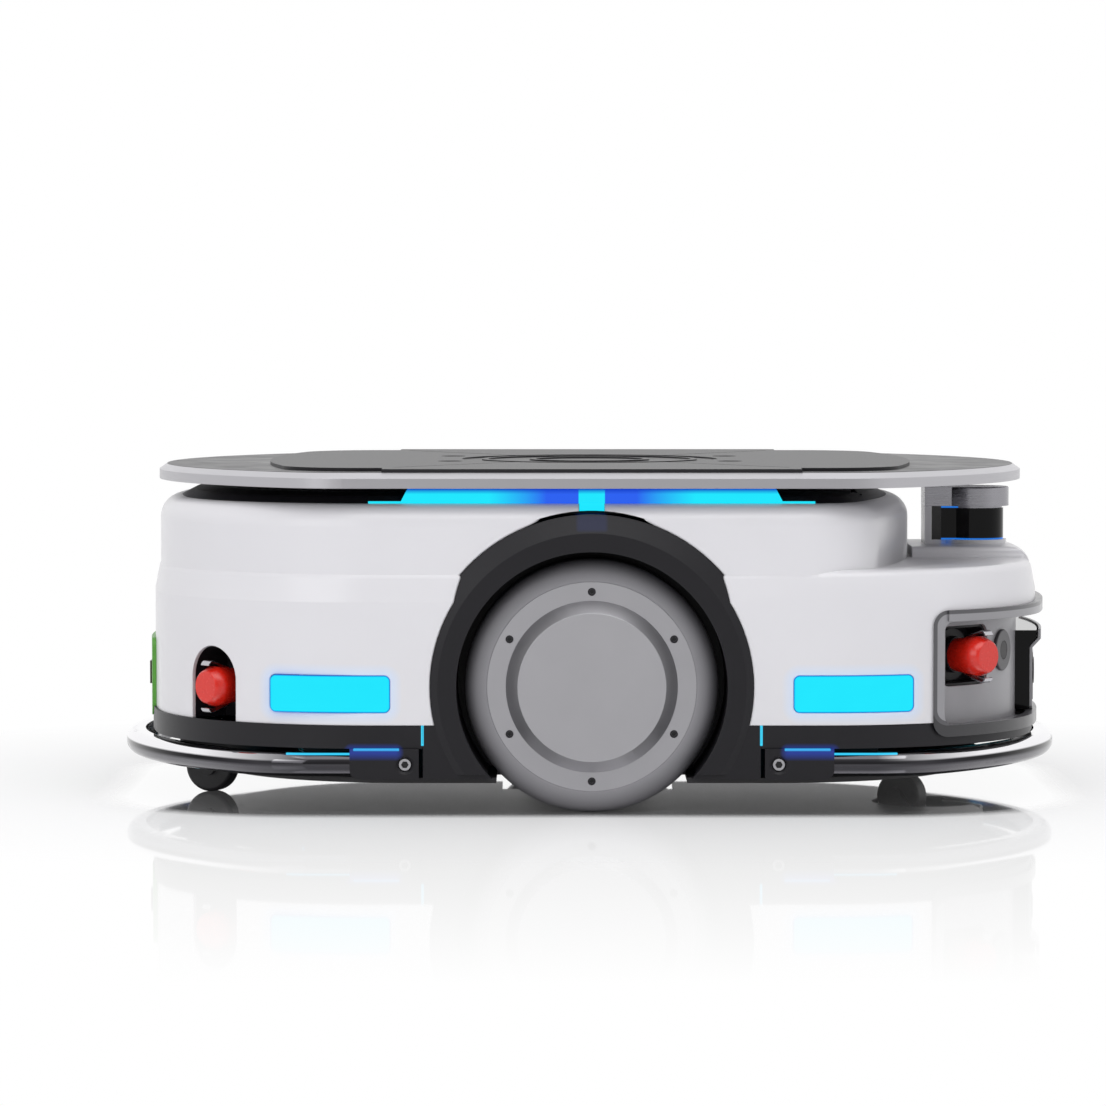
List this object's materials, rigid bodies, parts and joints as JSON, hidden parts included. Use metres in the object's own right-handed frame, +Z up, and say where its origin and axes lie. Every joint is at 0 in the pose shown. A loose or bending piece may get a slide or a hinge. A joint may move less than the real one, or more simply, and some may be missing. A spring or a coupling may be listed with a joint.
{
  "type": "autonomous mobile robot",
  "caption": "Low lifting mobile robot: two driven wheels, swivel casters, a rising load plate, sprung bumpers, a laser scanner, light bars and corner stop buttons.",
  "frame": {"origin": "on the floor, under the middle of the machine's plan", "axes": "+X is the driving direction, +Y the left side, +Z up; the lift is down and the wheels stand on Z = 0"},
  "size_m": [0.74, 0.5, 0.26],
  "materials": {
    "white_shell": "white painted moulded body",
    "black_trim": "black textured moulding",
    "gloss_black": "polished black window",
    "plate_top": "black powder coat with a rubbered pad",
    "plate_metal": "milled and brushed plate edge",
    "dark_chrome": "dark polished bumper tube",
    "tyre_grey": "grey moulded polyurethane",
    "rim_metal": "bead-blasted aluminium",
    "cover_metal": "turned cover with a polished bevel",
    "steel": "zinc-plated steel",
    "screw_steel": "steel socket screws",
    "light_cyan": "cyan light diffuser",
    "estop_red": "red moulded button",
    "bezel_grey": "grey satin metal",
    "panel_green": "green moulded panel",
    "contact_brass": "plated charging contact",
    "caster_grey": "dark polyurethane tread",
    "frame_paint": "black powder-coated steel",
    "inner_black": "black moulded case"
  },
  "bodies": {
    "chassis": {"chassis_tray": "frame_paint", "chassis_frame": "frame_paint", "front_shell": "white_shell", "rear_shell": "white_shell", "top_deck": "black_trim", "front_skirt": "black_trim", "rear_skirt": "black_trim", "wheel_arch_left": "black_trim", "wheel_arch_right": "black_trim", "top_lights": "light_cyan", "side_lights": "light_cyan", "bumper_brackets": "black_trim", "bracket_screws": "steel", "scanner_base": "bezel_grey", "scanner_window": "gloss_black", "scanner_cap": "steel", "front_bezel": "bezel_grey", "front_panel": "bezel_grey", "camera_pod": "bezel_grey", "camera_window": "gloss_black", "camera_lenses": "gloss_black", "estop_niches": "black_trim", "estop_seats": "black_trim", "estop_guards": "steel", "power_button_ring": "black_trim", "rear_panel": "panel_green", "charge_contacts": "contact_brass", "motor_brackets": "frame_paint", "hub_motors": "rim_metal", "battery_pack": "inner_black", "controller_box": "inner_black", "motor_drives": "inner_black", "lift_column": "frame_paint", "lift_motor": "frame_paint", "guide_tubes": "frame_paint", "caster_cups": "frame_paint"},
    "lift": {"lift_plate": "plate_metal", "lift_pad": "plate_top", "lift_frame": "frame_paint", "guide_posts": "steel", "lift_spindle": "steel"},
    "wheel_left": {"tyre_left": "tyre_grey", "wheel_rim_left": "rim_metal", "hub_cover_left": "cover_metal", "hub_screws_left": "screw_steel"},
    "wheel_right": {"tyre_right": "tyre_grey", "wheel_rim_right": "rim_metal", "hub_cover_right": "cover_metal", "hub_screws_right": "screw_steel"},
    "caster_rear": {"caster_fork_rear": "steel"},
    "caster_rear_roller": {"caster_wheel_rear": "caster_grey"},
    "caster_front": {"caster_fork_front": "steel"},
    "caster_front_roller": {"caster_wheel_front": "caster_grey"},
    "bumper_front": {"front_bumper": "dark_chrome"},
    "bumper_rear": {"rear_bumper": "dark_chrome"},
    "estop_front_left": {"estop_cap_front_left": "estop_red"},
    "estop_front_right": {"estop_cap_front_right": "estop_red"},
    "estop_rear_left": {"estop_cap_rear_left": "estop_red"},
    "estop_rear_right": {"estop_cap_rear_right": "estop_red"},
    "start_button": {"power_button": "black_trim"}
  },
  "joints": [
    {"name": "lift_travel", "type": "slide", "parent": "chassis", "child": "lift", "axis": [0, 0, 1], "range_m": [0, 0.06]},
    {"name": "wheel_left_spin", "type": "hinge", "parent": "chassis", "child": "wheel_left", "pos_m": [0, 0.213, 0.096], "axis": [0, 1, 0], "continuous": true},
    {"name": "wheel_right_spin", "type": "hinge", "parent": "chassis", "child": "wheel_right", "pos_m": [0, -0.213, 0.096], "axis": [0, 1, 0], "continuous": true},
    {"name": "caster_rear_swivel", "type": "hinge", "parent": "chassis", "child": "caster_rear", "pos_m": [-0.276, -0.074, 0.05], "axis": [0, 0, 1], "continuous": true},
    {"name": "caster_rear_roll", "type": "hinge", "parent": "caster_rear", "child": "caster_rear_roller", "pos_m": [-0.29761, -0.06613, 0.02], "axis": [0.342, 0.9397, 0], "continuous": true},
    {"name": "caster_front_swivel", "type": "hinge", "parent": "chassis", "child": "caster_front", "pos_m": [0.276, 0.074, 0.05], "axis": [0, 0, 1], "continuous": true},
    {"name": "caster_front_roll", "type": "hinge", "parent": "caster_front", "child": "caster_front_roller", "pos_m": [0.25716, 0.08719, 0.02], "axis": [0.5736, 0.8192, 0], "continuous": true},
    {"name": "bumper_front_press", "type": "slide", "parent": "chassis", "child": "bumper_front", "axis": [-1, 0, 0], "range_m": [0, 0.008], "stiffness_N_per_m": 2500},
    {"name": "bumper_rear_press", "type": "slide", "parent": "chassis", "child": "bumper_rear", "axis": [1, 0, 0], "range_m": [0, 0.008], "stiffness_N_per_m": 2500},
    {"name": "estop_front_left_press", "type": "slide", "parent": "chassis", "child": "estop_front_left", "axis": [-0.7071, -0.7071, 0], "range_m": [0, 0.005], "stiffness_N_per_m": 1500},
    {"name": "estop_front_right_press", "type": "slide", "parent": "chassis", "child": "estop_front_right", "axis": [-0.7071, 0.7071, 0], "range_m": [0, 0.005], "stiffness_N_per_m": 1500},
    {"name": "estop_rear_left_press", "type": "slide", "parent": "chassis", "child": "estop_rear_left", "axis": [0.7071, -0.7071, 0], "range_m": [0, 0.005], "stiffness_N_per_m": 1500},
    {"name": "estop_rear_right_press", "type": "slide", "parent": "chassis", "child": "estop_rear_right", "axis": [0.7071, 0.7071, 0], "range_m": [0, 0.005], "stiffness_N_per_m": 1500},
    {"name": "start_button_press", "type": "slide", "parent": "chassis", "child": "start_button", "axis": [-0.8988, 0.4384, 0], "range_m": [0, 0.0015], "stiffness_N_per_m": 800}
  ]
}
